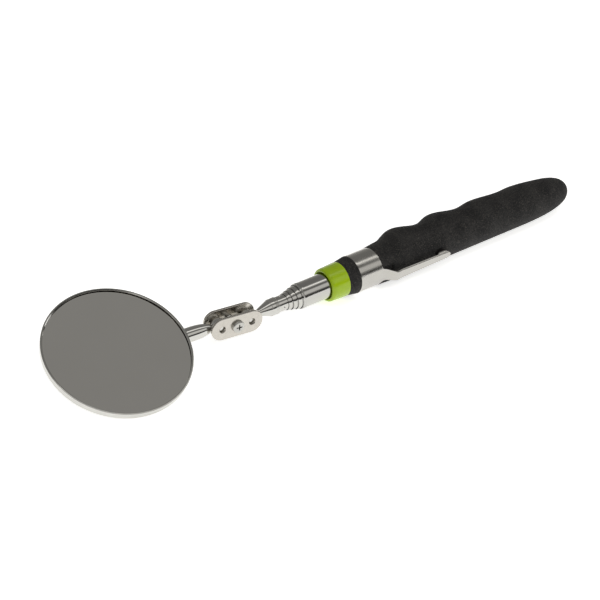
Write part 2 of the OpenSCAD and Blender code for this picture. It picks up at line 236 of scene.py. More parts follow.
TUBE_NODES = ["barrel_tube", "section_tube_1", "section_tube_2", "section_tube_3", "tip_tube"]
TUBE_BODIES = ["handle", "section_1", "section_2", "section_3", "tip"]
TUBE_WALL = 0.28
BEAD_HEIGHT = 0.14
BEAD_LEN = 0.8
BEAD_PITCH = 9.0
BEAD_ROUND = BEAD_HEIGHT * 0.9
MOUTH_GAP = 0.2
MOUTH_ROUND = 0.36
MOUTH_LAND = 0.7
SWAGE = 0.18
SWAGE_WAIST = 0.42
TUBE_SIDES = 160


def arc(x, r, size, start, end, steps):
    """Points (distance, radius) on a round of one size about (x, r), in degrees."""
    turns = [math.radians(start + (end - start) * i / steps) for i in range(steps + 1)]
    return [(x + size * math.cos(a), r + size * math.sin(a)) for a in turns]


def turned(outline, sides, place=None, closed=False, shape=None):
    """A mesh of (distance, radius) points in mm turned about X, then placed. Shape, if given,
    changes a radius at a distance and an angle."""
    shell = bmesh.new()
    rings = []
    for x, r in outline:
        if r < 1e-6:
            rings.append([shell.verts.new((x, 0, 0))])
            continue
        ring = []
        for j in range(sides):
            a = 2 * math.pi * j / sides
            reach = shape(x, r, a) if shape else r
            ring.append(shell.verts.new((x, reach * math.cos(a), reach * math.sin(a))))
        rings.append(ring)
    pairs = list(zip(rings, rings[1:])) + ([(rings[-1], rings[0])] if closed else [])
    for a, b in pairs:
        for j in range(sides):
            k = (j + 1) % sides
            corners = [a[j % len(a)], a[k % len(a)], b[k % len(b)], b[j % len(b)]]
            shell.faces.new(list(dict.fromkeys(corners)))
    bmesh.ops.recalc_face_normals(shell, faces=shell.faces)
    shell.transform((place or Matrix.Identity(4)) @ Matrix.Diagonal((MM, MM, MM, 1)))
    mesh = bpy.data.meshes.new("turned")
    shell.to_mesh(mesh)
    shell.free()
    return mesh


def show(name, mesh, material, sharp=40):
    """Puts a mesh in the scene as a smooth piece with crisp edges past an angle."""
    mesh.materials.clear()
    mesh.materials.append(material)
    mesh.shade_smooth()
    mesh.set_sharp_from_angle(angle=math.radians(sharp))
    piece = bpy.data.objects.new(name, mesh)
    bpy.context.scene.collection.objects.link(piece)
    return piece


def bake(piece):
    """Replaces a piece's mesh with what its modifiers make of it."""
    bpy.context.view_layer.update()
    view = bpy.context.evaluated_depsgraph_get()
    result = bpy.data.meshes.new_from_object(piece.evaluated_get(view))
    piece.modifiers.clear()
    piece.data = result
    return piece


def bump(tree, shader, height, strength, depth):
    """Roughens a shader's surface with a height. Depth is in mm."""
    relief = add(tree, "ShaderNodeBump",
                 {"Height": height, "Strength": strength, "Distance": depth * MM})
    tree.links.new(relief.outputs["Normal"], shader.inputs["Normal"])


def polished_chrome(name, dark, light, roughness, grain, lines):
    # Bright chromium plate: a cool mirror with faint lines left by the polishing mop, and
    # patches that are a little duller where it has been handled.
    material, tree, shader, place = new_material(name)
    haze = add(tree, "ShaderNodeTexNoise", {"Vector": place, "Scale": grain, "Detail": 4.0})
    tree.links.new(two_tone(tree, haze.outputs["Fac"], dark, light), shader.inputs["Base Color"])
    dull = add(tree, "ShaderNodeMapRange", {"Value": haze.outputs["Fac"], "From Min": 0.35,
               "From Max": 0.7, "To Min": roughness, "To Max": roughness * 1.7})
    tree.links.new(dull.outputs["Result"], shader.inputs["Roughness"])
    drawn = add(tree, "ShaderNodeMapping", {"Vector": place, "Scale": lines})
    marks = add(tree, "ShaderNodeTexNoise",
                {"Vector": drawn.outputs["Vector"], "Scale": 1.0, "Detail": 2.0})
    bump(tree, shader, marks.outputs["Fac"], 0.08, 0.02)
    shader.inputs["Metallic"].default_value = 1.0
    return material


ROUND_LINES = (4000, 120, 120)
barrel_finish = polished_chrome("barrel_polished_chrome", "#b3b2ae", "#c2c1be", 0.1, 60,
                                ROUND_LINES)
section_finish = polished_chrome("section_polished_chrome", "#b9b8b4", "#c7c6c2", 0.07, 90,
                                 ROUND_LINES)


def bead(start, r):
    """Outline of one bead that is rolled outwards in a tube's wall."""
    crest = r + BEAD_HEIGHT - BEAD_ROUND
    rise = arc(start + BEAD_ROUND, crest, BEAD_ROUND, 180, 90, 4)
    fall = arc(start + BEAD_LEN - BEAD_ROUND, crest, BEAD_ROUND, 90, 0, 4)
    return rise + fall + [(start + BEAD_LEN, r)]


def tube_outline(r, rear, front, mouth, beads, shown):
    """Outline of one tube: beads at its inner end, and a mouth that is swaged and rolled in."""
    outside = [(rear, r - TUBE_WALL), (rear, r)]
    for start in ([rear, rear + BEAD_PITCH] if beads else []):
        outside += [(start, r)] + bead(start, r)
    swage_from = front - shown
    outside += [(swage_from - 0.9, r), (swage_from - 0.25, r)]
    steps = 12
    for i in range(steps + 1):
        t = i / steps
        fall = SWAGE * ((t - SWAGE_WAIST) / SWAGE_WAIST) ** 2
        outside.append((swage_from + (shown - MOUTH_ROUND) * t, r - fall))
    edge = outside[-1][1]
    for i in range(1, 9):
        a = math.radians(90 * (1 - i / 8))
        outside.append((front - MOUTH_ROUND + MOUTH_ROUND * math.cos(a),
                        mouth + (edge - mouth) * math.sin(a)))
    return outside + [(front - MOUTH_LAND, mouth), (front - MOUTH_LAND - 0.1, r - TUBE_WALL)]


tube_radii = [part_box(node)[1].z / MM - (BEAD_HEIGHT if i else 0)
              for i, node in enumerate(TUBE_NODES)]
tube_rears = [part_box(node)[0].x / MM for node in TUBE_NODES]
tube_fronts = [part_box(node)[1].x / MM for node in TUBE_NODES]

for i in range(4):
    shown = 0.9 if i == 0 else tube_fronts[i] - tube_fronts[i - 1]
    outline = tube_outline(tube_radii[i], tube_rears[i], tube_fronts[i],
                           tube_radii[i + 1] + MOUTH_GAP, i > 0, shown)
    name = TUBE_BODIES[i] if i else "barrel"
    tube = show(f"{name}_drawn_tube", turned(outline, TUBE_SIDES, closed=True),
                section_finish if i else barrel_finish)
    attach(tube, TUBE_BODIES[i])
    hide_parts(TUBE_NODES[i])


# ---- Tip section ----
# The smallest chromed tube. It is pressed onto the stud's shank and fixed with four blows of a
# round punch, which leave shallow pits in its wall.

MARK_COUNT = 4
MARK_RADIUS = 0.62
MARK_DEPTH = 0.3
MARK_BACK = 2.1
TIP_EDGE = 0.15


def socket_inputs(tree, sizes):
    """Gives a Geometry Nodes tree a geometry in and out, and one named input for each size."""
    tree.interface.new_socket("Geometry", in_out="INPUT", socket_type="NodeSocketGeometry")
    tree.interface.new_socket("Geometry", in_out="OUTPUT", socket_type="NodeSocketGeometry")
    for name in sizes:
        tree.interface.new_socket(name, in_out="INPUT", socket_type="NodeSocketFloat")
    tree.interface.new_socket("Material", in_out="INPUT", socket_type="NodeSocketMaterial")
    return add(tree, "NodeGroupInput")


def run_tree(piece, tree, sizes, material):
    """Runs a Geometry Nodes tree on a piece with its inputs set, and keeps the result."""
    modifier = piece.modifiers.new(tree.name, "NODES")
    modifier.node_group = tree
    for item in tree.interface.items_tree:
        if item.in_out == "INPUT" and item.name in sizes:
            modifier[item.identifier] = sizes[item.name]
        if item.in_out == "INPUT" and item.name == "Material":
            modifier[item.identifier] = material
    return bake(piece)


def close_tree(tree, given, geometry):
    """Ends a tree in Realize Instances and Set Material."""
    real = add(tree, "GeometryNodeRealizeInstances", {"Geometry": geometry})
    dressed = add(tree, "GeometryNodeSetMaterial", {"Geometry": real.outputs["Geometry"],
                                                    "Material": given.outputs["Material"]})
    add(tree, "NodeGroupOutput", {"Geometry": dressed.outputs["Geometry"]})


def punch_tree():
    """Presses a ring of round pits into a tube that lies along X."""
    sizes = ["Count", "Pit Radius", "Pit Depth", "Pit Place", "Tube Radius"]
    tree = bpy.data.node_groups.new("punch_marks", "GeometryNodeTree")
    given = socket_inputs(tree, sizes)
    spot = add(tree, "GeometryNodeInputPosition").outputs["Position"]
    parts = add(tree, "ShaderNodeSeparateXYZ", {"Vector": spot})
    angle = maths(tree, "ARCTAN2", parts.outputs["Z"], parts.outputs["Y"])
    share = maths(tree, "DIVIDE", angle, 2 * math.pi)
    turns = maths(tree, "MULTIPLY", share, given.outputs["Count"])
    off = maths(tree, "SUBTRACT", turns, maths(tree, "ROUND", turns))
    girth = maths(tree, "MULTIPLY", given.outputs["Tube Radius"], 2 * math.pi)
    pitch = maths(tree, "DIVIDE", girth, given.outputs["Count"])
    sideways = maths(tree, "MULTIPLY", off, pitch)
    along = maths(tree, "SUBTRACT", parts.outputs["X"], given.outputs["Pit Place"])
    flat = add(tree, "ShaderNodeCombineXYZ", {"X": along, "Y": sideways}).outputs["Vector"]
    far = add(tree, "ShaderNodeVectorMath", {0: flat}, operation="LENGTH").outputs["Value"]
    deep = maths(tree, "MULTIPLY", given.outputs["Pit Depth"], -1.0)
    press = add(tree, "ShaderNodeMapRange", {"Value": far, "From Min": 0.0,
                "From Max": given.outputs["Pit Radius"], "To Min": deep, "To Max": 0.0},
                interpolation_type="SMOOTHSTEP").outputs["Result"]
    radial = add(tree, "ShaderNodeCombineXYZ",
                 {"Y": parts.outputs["Y"], "Z": parts.outputs["Z"]}).outputs["Vector"]
    outwards = add(tree, "ShaderNodeVectorMath", {0: radial},
                   operation="NORMALIZE").outputs["Vector"]
    move = add(tree, "ShaderNodeVectorMath", {0: outwards, "Scale": press},
               operation="SCALE").outputs["Vector"]
    pitted = add(tree, "GeometryNodeSetPosition",
                 {"Geometry": given.outputs["Geometry"], "Offset": move})
    close_tree(tree, given, pitted.outputs["Geometry"])
    return tree


tip_r, tip_rear, tip_front = tube_radii[4], tube_rears[4], tube_fronts[4]
tip_outline = [(tip_rear, tip_r - TUBE_WALL), (tip_rear, tip_r)]
for start in (tip_rear, tip_rear + BEAD_PITCH):
    tip_outline += bead(start, tip_r)
tip_outline += [(tip_front - MARK_BACK - 1 + 0.1 * i, tip_r) for i in range(21)]
tip_outline += arc(tip_front - TIP_EDGE, tip_r - TIP_EDGE, TIP_EDGE, 90, 0, 4)
tip_outline += [(tip_front, tip_r - TUBE_WALL)]
tip_tube = show("tip_drawn_tube", turned(tip_outline, 2 * TUBE_SIDES, closed=True),
                section_finish)
run_tree(tip_tube, punch_tree(),
         {"Count": float(MARK_COUNT), "Pit Radius": MARK_RADIUS * MM, "Pit Depth": MARK_DEPTH * MM,
          "Pit Place": (tip_front - MARK_BACK) * MM, "Tube Radius": tip_r * MM}, section_finish)
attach(tip_tube, "tip")
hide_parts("tip_tube")


# ---- Friction bushes and end plug ----
# Split sleeves of thin spring bronze ride between the beads of each section and press on the
# next tube. A moulded plug closes the barrel inside the handle.

def spring_bronze():
    # Bare phosphor bronze strip: warm, half matt, with darker handling stains.
    material, tree, shader, place = new_material("bare_spring_bronze")
    stain = add(tree, "ShaderNodeTexNoise", {"Vector": place, "Scale": 400.0, "Detail": 5.0})
    colour = two_tone(tree, stain.outputs["Fac"], "#a9762f", "#d8a95c")
    tree.links.new(colour, shader.inputs["Base Color"])
    shader.inputs["Metallic"].default_value = 1.0
    shader.inputs["Roughness"].default_value = 0.34
    return material


def moulded_black(name, dark, light, grain):
    # Injection-moulded black plastic with a fine spark-eroded grain.
    material, tree, shader, place = new_material(name)
    pits = add(tree, "ShaderNodeTexNoise", {"Vector": place, "Scale": grain, "Detail": 3.0})
    tree.links.new(two_tone(tree, pits.outputs["Fac"], dark, light), shader.inputs["Base Color"])
    bump(tree, shader, pits.outputs["Fac"], 0.4, 0.03)
    shader.inputs["Roughness"].default_value = 0.6
    return material


def dress(node, material):
    """Gives a CAD node its finish."""
    frame["nodes"][node].data.materials.clear()
    frame["nodes"][node].data.materials.append(material)


bronze = spring_bronze()
for i in range(1, 5):
    dress(f"friction_bush_{i}", bronze)
dress("tube_plug", moulded_black("moulded_plug_plastic", "#141416", "#26272a", 3000.0))


# ---- Stud with the pole's ball ----
# One turned piece: a shank inside the tip tube, a ringed collar, a long cone, a thin neck and
# a ball, nickel plated and polished after turning.

stud_ball_x = joints["link_swing"]["pos_m"][0] / MM
ball_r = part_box("pole_stud")[1].x / MM - stud_ball_x
stud_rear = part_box("pole_stud")[0].x / MM
STUD_COLLAR_LEN = 3.5
STUD_NECK_R = 0.95
STUD_PROUD = 0.25
SHANK_FIT = 0.02
SHANK_CHAMFER = 0.2
RING_COUNT = 3
RING_START = 0.55
RING_PITCH = 0.5
RING_HALF = 0.14
RING_DEPTH = 0.13
stud_finish = polished_chrome("stud_turned_nickel", "#bbbab6", "#cac9c5", 0.06, 120, ROUND_LINES)

shank_r = tip_r - TUBE_WALL - SHANK_FIT
collar_r = tip_r + STUD_PROUD
collar_end = tip_front + STUD_COLLAR_LEN
stud_outline = [(stud_rear, 0), (stud_rear, shank_r - SHANK_CHAMFER),
                (stud_rear + SHANK_CHAMFER, shank_r), (tip_front, shank_r)]
stud_outline += arc(tip_front + 0.2, collar_r - 0.2, 0.2, 180, 90, 4)
for i in range(RING_COUNT):
    groove = tip_front + RING_START + RING_PITCH * i
    stud_outline += [(groove - RING_HALF, collar_r), (groove, collar_r - RING_DEPTH),
                     (groove + RING_HALF, collar_r)]
stud_outline += arc(collar_end - 0.3, collar_r - 0.3, 0.3, 90, 20, 5)
neck_start = stud_ball_x - math.sqrt(ball_r ** 2 - STUD_NECK_R ** 2)
neck_angle = math.degrees(math.asin(STUD_NECK_R / ball_r))
stud_outline += [(neck_start - 0.9, STUD_NECK_R + 0.06), (neck_start - 0.4, STUD_NECK_R)]
stud_outline += arc(stud_ball_x, 0, ball_r, 180 - neck_angle, 0, 36)[:-1]
stud_outline += [(stud_ball_x + ball_r, 0)]
stud = show("pole_stud_turned", turned(stud_outline, 96), stud_finish, sharp=28)
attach(stud, "tip")
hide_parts("pole_stud")


# ---- Front collar ----
# A glossy lime ring moulded in ABS, pressed over the barrel against the foam. Its front edge is
# rounded and stands clear of the tube, so a dark line shows around the barrel.

collar_low, collar_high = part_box("front_collar")
COLLAR_EDGE = 1.1
COLLAR_GAP = 0.5
COLLAR_TAPER = 0.35
REAR_ROUND = 0.25
MOUTH_DEPTH = 2
PRESS_FIT = 0.02


def lime_abs():
    # High-gloss ABS in a lime colour: a soft even body with slight flow marks and a clear sheen.
    material, tree, shader, place = new_material("moulded_lime_abs")
    flow = add(tree, "ShaderNodeTexNoise", {"Vector": place, "Scale": 70.0, "Detail": 3.0})
    colour = two_tone(tree, flow.outputs["Fac"], "#8fab08", "#9cb910")
    tree.links.new(colour, shader.inputs["Base Color"])
    ripple = add(tree, "ShaderNodeTexNoise", {"Vector": place, "Scale": 350.0, "Detail": 2.0})
    bump(tree, shader, ripple.outputs["Fac"], 0.15, 0.03)
    shader.inputs["Roughness"].default_value = 0.2
    shader.inputs["Specular IOR Level"].default_value = 0.4
    shader.inputs["IOR"].default_value = 1.53
    return material


collar_rear_x, collar_front_x = collar_low.x / MM, collar_high.x / MM
collar_rear_r = collar_high.z / MM
collar_front_r = collar_rear_r - COLLAR_TAPER
barrel_r = tube_radii[0]
bore = barrel_r + PRESS_FIT
collar_outline = [(collar_rear_x, bore), (collar_rear_x, collar_rear_r - REAR_ROUND)]
collar_outline += arc(collar_rear_x + REAR_ROUND, collar_rear_r - REAR_ROUND, REAR_ROUND,
                      180, 90, 4)
collar_outline += arc(collar_front_x - COLLAR_EDGE, collar_front_r - COLLAR_EDGE, COLLAR_EDGE,
                      90, 0, 14)
mouth_r = barrel_r + COLLAR_GAP
collar_outline += [(collar_front_x - 0.1, mouth_r + 0.1), (collar_front_x - 0.25, mouth_r),
                   (collar_front_x - MOUTH_DEPTH, mouth_r), (collar_front_x - MOUTH_DEPTH, bore)]
collar = show("lime_front_collar", turned(collar_outline, TUBE_SIDES, closed=True), lime_abs())
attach(collar, "handle")
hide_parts("front_collar")


# ---- Foam grip ----
# Closed-cell rubber foam, moulded over the barrel with a matt skin. Its finger side has four
# swells, its rear end is rounded, and a neck near the front takes the clip's steel band. The
# bulb at the end of the clip presses a shallow dent into it.

band_low, band_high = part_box("clip_band")
grip_low, grip_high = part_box("foam_grip")
grip_rear, grip_front = grip_low.x / MM, grip_high.x / MM
band_rear, band_front, band_r = band_low.x / MM, band_high.x / MM, band_high.z / MM
clip_out = Vector((0, joints["clip_flex"]["pos_m"][1], joints["clip_flex"]["pos_m"][2]))
clip_out.normalize()
clip_across = Vector(joints["clip_flex"]["axis"])
grip_r = -grip_low.z / MM
CLIP_SHEET = 0.4
FINGER_SWELL = [(0, 0), (5.8, 0.4), (16.7, 3.6), (28.3, 1.1), (36.9, 3.2), (49.6, 1),
                (58.1, 2), (72.8, 0.9), (78.3, 1.2), (95.3, 0.2), (105.8, 0)]
FOAM_STEP = 0.1
FOAM_ROUND = 0.25
SHOULDER_LEN = 9
END_LEN = 32.7
END_POWER = 3
GROOVE_POWER = 1.5
GROOVE_SIDE = 165.3
POCKET_LEN = 4.8
POCKET_HALF = 3.5
POCKET_FADE = 0.6
POCKET_SIDE = 0.5
CLIP_LEN = band_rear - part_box("clip_tongue")[0].x / MM
BULB_LEN = 5.6
BULB_BACK = 0.1
DENT_AT = CLIP_LEN - BULB_BACK - BULB_LEN / 2
DENT_DEPTH = 0.8
DENT_HALF_LEN, DENT_HALF_W = 4.0, 3.0
FOAM_SIDES = 176
FOAM_PITCH = 0.48


def ease(t):
    """A smooth step from 0 to 1."""
    return (1 - math.cos(math.pi * t)) / 2


def finger_swell(behind):
    """How far the finger side stands out at a distance behind the clip's band."""
    for (d0, s0), (d1, s1) in zip(FINGER_SWELL, FINGER_SWELL[1:]):
        if behind <= d1:
            return s0 + (s1 - s0) * ease((behind - d0) / (d1 - d0))
    return 0


groove_angle = math.radians(GROOVE_SIDE)
clip_angle = math.atan2(clip_out.z, clip_out.y)
band_foam_r = band_r - CLIP_SHEET - 0.02
behind_r = band_foam_r + CLIP_SHEET + 0.15
body_len = band_rear - grip_rear


def foam_radius(x, r, a):
    """Radius of the foam's skin: plain in front, swelling on the finger side behind the band."""
    behind = band_rear - x
    if behind < 0 or r <= barrel_r + 0.1:
        return r
    swell = min(finger_swell(behind), r / 2)
    reach = r + swell * max(0, math.cos(a - groove_angle)) ** GROOVE_POWER
    if behind < POCKET_LEN + POCKET_FADE:
        across = abs(math.sin(a - clip_angle)) * r
        if math.cos(a - clip_angle) > 0:
            side = min(1, max(0, (POCKET_HALF + POCKET_SIDE - across) / POCKET_SIDE))
            end = min(1, max(0, (POCKET_LEN + POCKET_FADE - behind) / POCKET_FADE))
            reach = reach + (band_foam_r - 0.1 - reach) * ease(side) * ease(end)
    if math.cos(a - clip_angle) > 0:
        off = math.hypot((behind - DENT_AT) / DENT_HALF_LEN,
                         math.sin(a - clip_angle) * r / DENT_HALF_W)
        reach -= DENT_DEPTH * ease(max(0, 1 - off ** 2))
    return reach


foam_front_r = collar_rear_r - FOAM_STEP
foam_outline = [(grip_front, barrel_r + PRESS_FIT), (grip_front, foam_front_r - FOAM_ROUND)]
foam_outline += arc(grip_front - FOAM_ROUND, foam_front_r - FOAM_ROUND, FOAM_ROUND, 0, 90, 4)[1:]
cone_len = grip_front - band_front
steps = round(cone_len / FOAM_PITCH)
for i in range(1, steps + 1):
    t = i / steps
    foam_outline.append((grip_front - FOAM_ROUND - (cone_len - FOAM_ROUND) * t,
                         foam_front_r + (band_r - 0.02 - foam_front_r) * t))
foam_outline += [(band_front, band_foam_r), (band_rear + 0.02, band_foam_r)]
steps = round(body_len / FOAM_PITCH)
for i in range(steps):
    behind = body_len * (1 - (1 - i / steps) ** 1.12)
    end = max(0, behind - (body_len - END_LEN)) / END_LEN
    full = behind_r + (grip_r - behind_r) * ease(min(1, behind / SHOULDER_LEN))
    foam_outline.append((band_rear - behind, full * (1 - end ** END_POWER) ** (1 / END_POWER)))
foam_outline += [(grip_rear, 0)]
bore_end = tube_rears[0] - 0.1
foam_outline = [(bore_end, 0), (bore_end, barrel_r + PRESS_FIT)] + foam_outline


def foam_skin():
    # Moulded nitrile foam: near-black, very matt, with a fine leathery skin of closed cells about
    # a third of a millimetre across. Grey specks in the base colour are painted glints that stand
    # for light caught by the cells.
    material, tree, shader, place = new_material("moulded_black_foam")
    cells = add(tree, "ShaderNodeTexVoronoi", {"Vector": place, "Scale": 2600.0})
    clouds = add(tree, "ShaderNodeTexNoise", {"Vector": place, "Scale": 160.0, "Detail": 6.0})
    specks = add(tree, "ShaderNodeTexNoise", {"Vector": place, "Scale": 1500.0, "Detail": 4.0})
    blotch = maths(tree, "MULTIPLY", clouds.outputs["Fac"], specks.outputs["Fac"])
    tone = add(tree, "ShaderNodeMapRange", {"Value": blotch, "From Min": 0.14, "From Max": 0.4})
    skin = two_tone(tree, tone.outputs["Result"], "#101011", "#2c2b2a")
    # Painted glints: grey specks mixed into the base colour where the foam's cells catch the
    # light.
    glint_specks = add(tree, "ShaderNodeTexNoise", {"Vector": place, "Scale": 2300.0, "Detail": 1.0})
    glint_amount = add(tree, "ShaderNodeMapRange", {"Value": glint_specks.outputs["Fac"], "From Min": 0.56,
                                             "From Max": 0.72, "To Max": 0.4})
    colour = add(tree, "ShaderNodeMix", {"Factor": glint_amount.outputs["Result"], 6: skin,
                                         7: linear("#5c5852")}, data_type="RGBA").outputs[2]
    tree.links.new(colour, shader.inputs["Base Color"])
    height = maths(tree, "ADD", cells.outputs["Distance"], specks.outputs["Fac"])
    bump(tree, shader, height, 0.9, 0.16)
    shader.inputs["Roughness"].default_value = 0.82
    shader.inputs["Specular IOR Level"].default_value = 0.35
    return material


def grain_tree():
    """Raises a fine random relief on a skin, along its normals."""
    tree = bpy.data.node_groups.new("foam_grain", "GeometryNodeTree")
    given = socket_inputs(tree, ["Cells Per Metre", "Relief", "Seed"])
    pebble = add(tree, "ShaderNodeTexNoise", {"W": given.outputs["Seed"],
                 "Scale": given.outputs["Cells Per Metre"], "Detail": 2.0},
                 noise_dimensions="4D").outputs[0]
    centred = maths(tree, "SUBTRACT", pebble, 0.74)
    reach = maths(tree, "MULTIPLY", centred, given.outputs["Relief"])
    outwards = add(tree, "GeometryNodeInputNormal").outputs["Normal"]
    move = add(tree, "ShaderNodeVectorMath", {0: outwards, "Scale": reach},
               operation="SCALE").outputs["Vector"]
    moved = add(tree, "GeometryNodeSetPosition",
                {"Geometry": given.outputs["Geometry"], "Offset": move})
    close_tree(tree, given, moved.outputs["Geometry"])
    return tree


foam = show("foam_handle", turned(foam_outline, FOAM_SIDES, shape=foam_radius), foam_skin())
run_tree(foam, grain_tree(), {"Cells Per Metre": 900.0, "Relief": 0.16 * MM, "Seed": 3.0},
         foam.data.materials[0])
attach(foam, "handle")
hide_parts("foam_grip")


# ---- Pocket clip ----
# One blank of plated spring steel: a band that is rolled round the foam's neck, and a tongue
# that is folded outwards and runs back along the grip. The tongue's edges are rolled inwards,
# and it ends in a bulb that rests on the foam.

CLIP_LIFT = 2.3
CLIP_Z = grip_r + CLIP_LIFT + CLIP_SHEET / 2
ROOT_HALF = 3.15
WAIST_AT = 5.0
WAIST_HALF = 2.15
TIP_HALF = 1.58
ROOT_END = 0.8
CREST_AT = 5.2
CREST_HIGH = 0.28
FOLD_END = 7.6
FLAT_FROM = 1.5
EDGE_ROLL = 0.42
ROLL_FROM = 0.64
BULB_R = 1.7
sheet_r = band_r - CLIP_SHEET / 2


def tongue_half(d):
    """Half the tongue's width at a distance behind the band."""
    if d < WAIST_AT:
        return WAIST_HALF + (ROOT_HALF - WAIST_HALF) * (1 - d / WAIST_AT) ** 1.6
    nose = CLIP_LEN - TIP_HALF
    t = min(1, (d - WAIST_AT) / (nose - WAIST_AT))
    half = WAIST_HALF + (TIP_HALF - WAIST_HALF) * t
    if d > nose:
        half = math.sqrt(max(0, TIP_HALF ** 2 - (d - nose) ** 2))
    return max(half, 0.25)


def tongue_point(d, w):
    """A point of the folded sheet's middle, from its place in the flat blank."""
    crest = CLIP_Z + CREST_HIGH
    if d < ROOT_END:
        high = sheet_r
    elif d < CREST_AT:
        high = sheet_r + (crest - sheet_r) * ease((d - ROOT_END) / (CREST_AT - ROOT_END))
    elif d < FOLD_END:
        high = crest - CREST_HIGH * ease((d - CREST_AT) / (FOLD_END - CREST_AT))
    else:
        high = CLIP_Z
    flat = ease(min(1, max(0, (d - FLAT_FROM) / (FOLD_END - FLAT_FROM))))
    turn = w / sheet_r
    near_edge = max(0, abs(w) / tongue_half(d) - ROLL_FROM) / (1 - ROLL_FROM)
    rolled = EDGE_ROLL * near_edge ** 2
    side = sheet_r * math.sin(turn) * (1 - flat) + w * flat
    drop = sheet_r * (1 - math.cos(turn)) * (1 - flat) + rolled * flat
    return Vector((band_rear - d, 0, 0)) + clip_across * side + clip_out * (high - drop)


def axes(x, y, origin):
    """A matrix whose X and Y axes point along two directions from an origin, in mm."""
    x = x.normalized()
    z = x.cross(y).normalized()
    turned_axes = Matrix((x, z.cross(x), z)).transposed().to_4x4()
    return Matrix.Translation(origin) @ turned_axes


def clip_sheet():
    """The blank's middle surface: a closed band, and a tongue that grows from its rear edge."""
    sheet = bmesh.new()
    tongue_columns, band_columns, band_rows = 30, 150, 14
    root = tongue_half(0)
    free = 2 * math.pi * sheet_r - 2 * root
    places = [-root + 2 * root * i / tongue_columns for i in range(tongue_columns + 1)]
    places += [root + free * i / band_columns for i in range(1, band_columns)]
    rows = []
    for k in range(band_rows + 1):
        x = band_front + (band_rear - band_front) * k / band_rows
        row = []
        for w in places:
            turn = w / sheet_r
            row.append(sheet.verts.new(Vector((x, 0, 0)) + clip_across * sheet_r * math.sin(turn)
                                       + clip_out * sheet_r * math.cos(turn)))
        rows.append(row)
    count = len(places)
    for a, b in zip(rows, rows[1:]):
        for j in range(count):
            sheet.faces.new((a[j], a[(j + 1) % count], b[(j + 1) % count], b[j]))
    last = rows[-1][:tongue_columns + 1]
    tongue_rows = 120
    for k in range(1, tongue_rows + 1):
        d = CLIP_LEN * (1 - (1 - k / tongue_rows) ** 1.3)
        half = tongue_half(d)
        row = [sheet.verts.new(tongue_point(d, half * (2 * i / tongue_columns - 1)))
               for i in range(tongue_columns + 1)]
        for i in range(tongue_columns):
            sheet.faces.new((last[i], last[i + 1], row[i + 1], row[i]))
        last = row
    sheet.normal_update()
    side = next(f for f in sheet.faces if f.calc_center_median().x > band_rear)
    middle = side.calc_center_median()
    if side.normal.dot(Vector((0, middle.y, middle.z))) < 0:
        bmesh.ops.reverse_faces(sheet, faces=sheet.faces)
    sheet.transform(Matrix.Diagonal((MM, MM, MM, 1)))
    mesh = bpy.data.meshes.new("clip_sheet")
    sheet.to_mesh(mesh)
    sheet.free()
    return mesh


def join(mesh, other):
    """Adds another mesh's faces to a mesh."""
    both = bmesh.new()
    both.from_mesh(mesh)
    both.from_mesh(other)
    both.to_mesh(mesh)
    both.free()


clip_finish = polished_chrome("clip_bright_nickel", "#aeaca7", "#bfbdb9", 0.14, 80,
                              (90, 2600, 2600))
clip = show("pocket_clip_sheet", clip_sheet(), clip_finish, sharp=50)
thickness = clip.modifiers.new("sheet", "SOLIDIFY")
thickness.thickness = CLIP_SHEET * MM
thickness.offset = 0
thickness.use_even_offset = True
rounding = clip.modifiers.new("deburred_edges", "BEVEL")
rounding.width = 0.09 * MM
rounding.segments = 2
rounding.limit_method = "ANGLE"
rounding.angle_limit = math.radians(60)
bake(clip)
bulb_top = CLIP_Z + CLIP_SHEET / 2 - BULB_R
bulb_outline = arc(BULB_R - BULB_LEN, 0, BULB_R, 180, 90, 12) + arc(-BULB_R, 0, BULB_R, 90, 0, 12)
bulb_outline[0], bulb_outline[-1] = (-BULB_LEN, 0), (0, 0)
bulb_at = Vector((band_rear - CLIP_LEN + BULB_LEN + BULB_BACK, 0, 0)) + clip_out * bulb_top
bulb = turned(bulb_outline, 40, Matrix.Translation(bulb_at * MM))
bulb.shade_smooth()
join(clip.data, bulb)
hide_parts("clip_band", "clip_tongue")
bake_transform(clip)


# ---- Clamp plates ----
# Two stadium-shaped plates stamped from steel strip, with a dished seat and a hole over each
# ball. They are tumbled, which rounds their edges, and nickel plated to a soft shine.

pole_ball = Vector(joints["link_swing"]["pos_m"])
mirror_ball_at = Vector(joints["mirror_swing"]["pos_m"])
stem_axis = Vector(joints["mirror_spin"]["axis"])
link_normal = Vector(joints["screw_turn"]["axis"])
if link_normal.y < 0:
    link_normal = -link_normal
link_middle = (pole_ball + mirror_ball_at) / 2
link_axis = (mirror_ball_at - pole_ball).normalized()
ball_gap = (mirror_ball_at - pole_ball).length / MM
link_place = axes(link_axis, link_normal, link_middle)
PLATE_T = 1.2
PLATE_END_R = 4.6
SEAT_DEPTH = 0.4
SEAT_HOLE_R = 1.3
SCREW_R = 1.25
SCREW_CLEARANCE = 0.06
PLATE_EDGE = 0.28
plate_gap = 2 * (ball_r - SEAT_DEPTH)


def round_spline(curve, points):
    """Adds a closed outline to a flat curve."""
    spline = curve.splines.new("POLY")
    spline.points.add(len(points) - 1)
    for at, (x, y) in zip(spline.points, points):
        at.co = (x, y, 0, 1)
    spline.use_cyclic_u = True


def circle(x, y, r, steps=48):
    """Points round a circle about (x, y)."""
    return [(x + r * math.cos(2 * math.pi * i / steps), y + r * math.sin(2 * math.pi * i / steps))
            for i in range(steps)]


